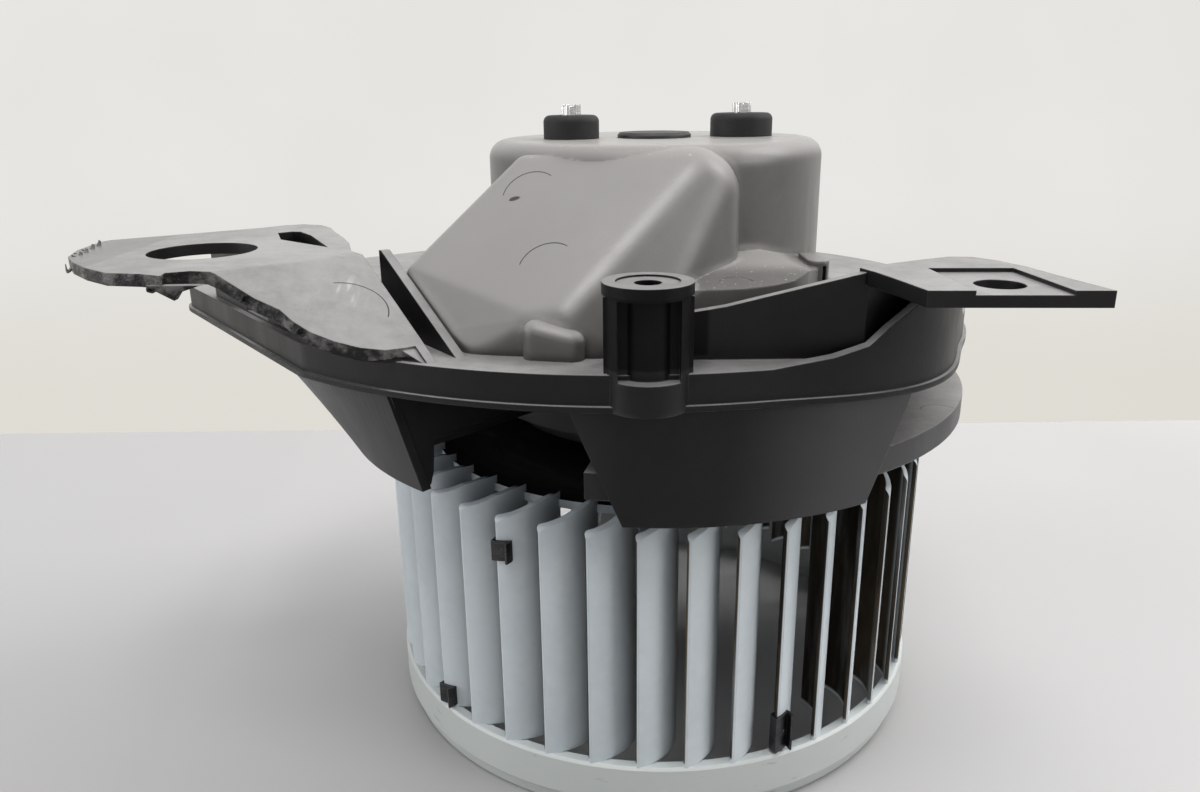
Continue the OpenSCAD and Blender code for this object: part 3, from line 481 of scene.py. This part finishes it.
def cover_plastic():
    """The cap's grey plastic, paler on top as painted light, with pin marks on the hood, specks, and dimples
    in the roof.
    """
    s = plastic("grey_plastic", (0.088, 0.084, 0.080), (0.108, 0.103, 0.099), 0.35, 0.06)
    shelf = s.product(s.right_of(4.0, 3.0), s.below(SHELF_TOP, 2.0))
    cloud = s.ramp(s.noise(26.0, 5.0, 0.6), 0.3, 0.7, 0.85, 1.0)
    # Painted light: faces that look up, but not the shelf, are made paler, for the overhead light on them
    pale = s.product(s.facing("Z", 0.0, 0.85), cloud, s.fade(shelf, 0.0, 1.0))
    base = s.mix(pale, s.base, (0.245, 0.236, 0.228))
    base = s.mix(s.worn_edges(s.round_normal), base, (0.30, 0.295, 0.29))
    specks = s.product(s.facing("Z", 0.75, 0.98), s.ramp(s.noise(1300.0, 2.0, 0.5), 0.67, 0.72))
    base = s.mix(specks, base, (0.42, 0.41, 0.39))

    upper_pin = s.arc((-29.6, -40.6, 139.6), HOOD_PIN_R, 0.2, HOOD_PIN_SIDE, (-29.6, -38.8, 141.0))
    lower_pin = s.arc((-25.2, -58.8, 126.6), HOOD_PIN_R, 0.2, HOOD_PIN_SIDE, (-25.2, -56.4, 128.5))
    shelf_pin = s.arc((13.7, -58.6, 122.6), 3.6, 0.2, BACK, (13.7, -57.8, 122.6))
    tick = s.fade(s.distance((-32.8, -40.6, 138.2), (0.45, 1.3, 1.3)), 0.6, 0.9)
    marks = s.highest(upper_pin, lower_pin, shelf_pin, tick)
    s.color(s.mix(marks, base, (0.016, 0.016, 0.016)))

    dimples = s.highest(*[s.fade(s.distance(place), 2.0, 2.6) for place in ROOF_DIMPLES])
    relief = s.math("SUBTRACT", 1.0, s.blend(marks, 0.5, dimples, 0.8))
    soft_edges = s.bevel(s.ramp(shelf, 0.0, 1.0, 0.0030, 0.0006))
    s.normal(s.bump(relief, 0.3, s.bump(s.grain, 0.02, soft_edges)))
    return s


give(cover_plastic(), cover)


# Material of the wheel
def wheel_plastic():
    """The wheel's white plastic: warmer at the inlet ring, dark brown on its blades' lee side, and its dome
    painted nearly black as shade.
    """
    shine, dull = 0.5, 0.12
    s = plastic("white_plastic", (0.53, 0.585, 0.61), (0.60, 0.65, 0.675), 0.38, 0.06, depth=0.015,
                bevel=0.0003, spec=shine)
    ring = s.below(INLET_RING_TOP + 0.7, 0.7)
    base = s.mix(s.product(ring, 0.8), s.base, (0.50, 0.52, 0.495))
    scuffs = s.product(s.ramp(s.noise(500.0, 3.0, 0.5, stretch=(0.3, 0.3, 1.5)), 0.66, 0.74), ring)
    base = s.mix(scuffs, base, (0.40, 0.41, 0.39))

    # The turn of a face about the shaft's axis tells the blade's two sides apart
    lee = s.product(s.ramp(s.about_axis()[1], -0.25, -0.60), s.above(INLET_RING_TOP + 0.8, 1.0))
    inside = s.fade(s.radius(), DOME_R, DOME_R + 2.0)
    dome = s.product(s.facing("Z", 0.2, 0.6), inside, s.above(DOME_FOOT, 3.0))
    patchy = s.ramp(s.noise(90.0, 5.0, 0.6, stretch=(1.0, 1.0, 0.15)), 0.25, 0.5, 0.75, 1.0)
    # The blades' lee side and the dome are made dark brown, rougher and duller
    dark_lee_and_dome = s.product(s.highest(lee, dome), patchy)
    tone = s.ramp(s.noise(45.0, 4.0, 0.6, stretch=(1.0, 1.0, 0.3)), 0.45, 0.7)
    base = s.mix(dark_lee_and_dome, base, s.mix(tone, (0.020, 0.016, 0.012), (0.085, 0.065, 0.042)))
    # Painted shade: the dome's top within the blades is made nearly black, for the deep shade it lies in
    s.color(s.mix(dome, base, (0.006, 0.0055, 0.005)))
    s.rough(s.ramp(dark_lee_and_dome, 0.0, 1.0, s.sheen, 0.85, smooth=False))
    s.spec(s.ramp(dark_lee_and_dome, 0.0, 1.0, shine, dull, smooth=False))
    return s


give(wheel_plastic(), "impeller")


# Materials of the small parts
black = plastic("black_plastic", (0.0075, 0.0075, 0.0078), (0.013, 0.0128, 0.0126), 0.40, 0.07,
                edge=(0.06, 0.06, 0.058))
give(black, "end_plate", "connector_socket")

plug = plastic("plug_plastic", (0.010, 0.010, 0.011), (0.016, 0.016, 0.016), 0.5)
give(plug, "centre_plug")

rubber = plastic("black_rubber", (0.007, 0.007, 0.0075), (0.014, 0.014, 0.0145), 0.62, spec=0.32)
give(rubber, "damper_left", "damper_right", "isolator_ring")

steel = metal("bright_steel", (0.42, 0.42, 0.42), (0.72, 0.72, 0.71), 0.25)
give(steel, "stud_left", "stud_right", "shaft")

zinc = metal("zinc_plated_steel", (0.36, 0.37, 0.38), (0.6, 0.61, 0.62), 0.35, stretch=(1, 1, 6))
give(zinc, "motor_can")

blackened = metal("spring_steel", (0.03, 0.03, 0.032), (0.09, 0.09, 0.092), 0.4)
give(blackened, "hub_clip", "balance_clip_1", "balance_clip_2", "balance_clip_3",
     "brush_spring_left", "brush_spring_right")

laminations = metal("lamination_steel", (0.10, 0.10, 0.105), (0.26, 0.26, 0.265), 0.45,
                    stretch=(0.05, 0.05, 8.0), scale=900.0, depth=0.05)
give(laminations, "armature_core")

ferrite = metal("ferrite", (0.03, 0.03, 0.032), (0.06, 0.06, 0.063), 0.55, metallic=0.2)
give(ferrite, "magnet_left", "magnet_right")

carbon = metal("carbon", (0.02, 0.02, 0.02), (0.05, 0.05, 0.05), 0.45, metallic=0.3)
give(carbon, "brush_left", "brush_right")

copper = metal("copper", (0.35, 0.13, 0.06), (0.72, 0.33, 0.18), 0.3, scale=1500.0, stretch=(1.0, 1.0, 0.1),
               depth=0.08)
give(copper, "armature_windings", "choke_left", "choke_right", "commutator")

tinned = metal("tinned_brass", (0.45, 0.44, 0.42), (0.72, 0.71, 0.68), 0.3, stretch=(12, 1, 1))
give(tinned, "terminal_blades")

bronze = metal("sintered_bronze", (0.24, 0.15, 0.07), (0.45, 0.31, 0.16), 0.5, stretch=(1, 1, 1), scale=900)
give(bronze, "lower_bearing", "upper_bearing")

washer = plastic("washer_plastic", (0.55, 0.48, 0.34), (0.68, 0.60, 0.44), 0.45)
give(washer, "thrust_washers")

# Faces that meet at a larger angle than this keep a sharp edge
SHARP_ANGLE = 32
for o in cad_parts.values():
    for p in o.data.polygons:
        p.use_smooth = True
    o.data.set_sharp_from_angle(angle=math.radians(SHARP_ANGLE))


# Floor and wall: their half width, the floor's front and back edge, and the wall's place and height, in m
STAGE_HALF = 3.0
FLOOR_FRONT = -2.5
FLOOR_BACK = 3.5
WALL_Y = 0.196
WALL_TOP = 1.2


def plane(name, corners, shader):
    mesh = bpy.data.meshes.new(name)
    mesh.from_pydata(corners, [], [(0, 1, 2, 3)])
    mesh.materials.append(shader.mat)
    o = bpy.data.objects.new(name, mesh)
    scene.collection.objects.link(o)
    return o


def showing_rays(tree):
    """1 for the rays that show a thing: the camera's, and those by way of a gloss or a clear part."""
    path = tree.nodes.new("ShaderNodeLightPath")
    result = path.outputs["Is Camera Ray"]
    for kind in ("Is Glossy Ray", "Is Transmission Ray"):
        n = tree.nodes.new("ShaderNodeMath")
        n.operation = "MAXIMUM"
        tree.links.new(result, n.inputs[0])
        tree.links.new(path.outputs[kind], n.inputs[1])
        result = n.outputs[0]
    return result


floor = Shader("floor", (0.50, 0.50, 0.505), 0.5, spec=0.3)
patches = floor.ramp(floor.noise(3.0, 3.0, 0.5), 0.3, 0.7)
floor.color(floor.mix(patches, (0.342, 0.338, 0.338), (0.367, 0.364, 0.366)))
plane("floor", [(-STAGE_HALF, FLOOR_FRONT, 0), (STAGE_HALF, FLOOR_FRONT, 0),
                (STAGE_HALF, FLOOR_BACK, 0), (-STAGE_HALF, FLOOR_BACK, 0)], floor)

# The wall shows from the front only, and only to the view and its reflections. Light passes it
wall = Shader("wall", (0.80, 0.79, 0.77), 0.9)
patches = wall.ramp(wall.noise(5.0, 4.0, 0.55), 0.3, 0.7)
stain = wall.mix(patches, (0.775, 0.765, 0.74), (0.81, 0.805, 0.785))
low_part = wall.fade(wall.parts(wall.coord)["Z"], 0.02, 0.12)
stain = wall.mix(wall.product(low_part, 0.7), stain, (0.72, 0.69, 0.62))
glow = wall.node("ShaderNodeEmission")
wall.join(stain, glow.inputs["Color"])
clear = wall.node("ShaderNodeBsdfTransparent")
side = wall.node("ShaderNodeNewGeometry")
choice = wall.node("ShaderNodeMixShader")
front = wall.product(showing_rays(wall.tree), wall.math("SUBTRACT", 1.0, side.outputs["Backfacing"]))
wall.join(front, choice.inputs[0])
wall.join(clear.outputs[0], choice.inputs[1])
wall.join(glow.outputs[0], choice.inputs[2])
wall.join(choice.outputs[0], wall.tree.nodes["Material Output"].inputs["Surface"])
plane("wall", [(-STAGE_HALF, WALL_Y, 0), (STAGE_HALF, WALL_Y, 0),
               (STAGE_HALF, WALL_Y, WALL_TOP), (-STAGE_HALF, WALL_Y, WALL_TOP)], wall)

# The world gives soft light, and shows as a plain pale backdrop
world = bpy.data.worlds.new("world")
scene.world = world
world.use_nodes = True
tree = world.node_tree
soft_light = tree.nodes["Background"]
soft_light.inputs["Color"].default_value = (0.93, 0.95, 1.0, 1.0)
soft_light.inputs["Strength"].default_value = 0.26
backdrop = tree.nodes.new("ShaderNodeBackground")
backdrop.inputs["Color"].default_value = (0.80, 0.80, 0.79, 1.0)
backdrop.inputs["Strength"].default_value = 1.0
choose = tree.nodes.new("ShaderNodeMixShader")
tree.links.new(showing_rays(tree), choose.inputs[0])
tree.links.new(soft_light.outputs[0], choose.inputs[1])
tree.links.new(backdrop.outputs[0], choose.inputs[2])
tree.links.new(choose.outputs[0], tree.nodes["World Output"].inputs["Surface"])


# Lamps
WARM = (1.0, 0.99, 0.98)
WARMER = (1.0, 0.99, 0.97)
COOL = (0.98, 0.99, 1.0)


def lamp(name, place, target_height, size, power, color):
    """Area lamp, in m and W, that points at a height on the shaft's axis."""
    data = bpy.data.lights.new(name, "AREA")
    data.shape = "RECTANGLE"
    data.size, data.size_y = size
    data.energy = power
    data.color = color
    o = bpy.data.objects.new(name, data)
    scene.collection.objects.link(o)
    o.location = place
    o.rotation_euler = (Vector((0, 0, target_height)) - Vector(place)).to_track_quat("-Z", "Y").to_euler()


lamp("ceiling", (-0.25, 0.05, 1.15), 0.10, (1.3, 1.1), 4.5, WARM)
lamp("strip", (-0.06, -0.40, 1.05), 0.10, (0.40, 0.40), 5.0, WARM)
lamp("back_top", (0.10, 0.82, 0.76), 0.10, (1.6, 0.9), 12.0, WARM)
lamp("right", (0.95, -0.45, 0.50), 0.05, (0.6, 0.5), 4.5, WARMER)
lamp("back_right", (0.68, 0.28, 0.76), 0.10, (0.5, 0.5), 7.5, WARM)
lamp("left", (-0.95, -0.20, 0.35), 0.08, (0.6, 0.5), 4.0, COOL)
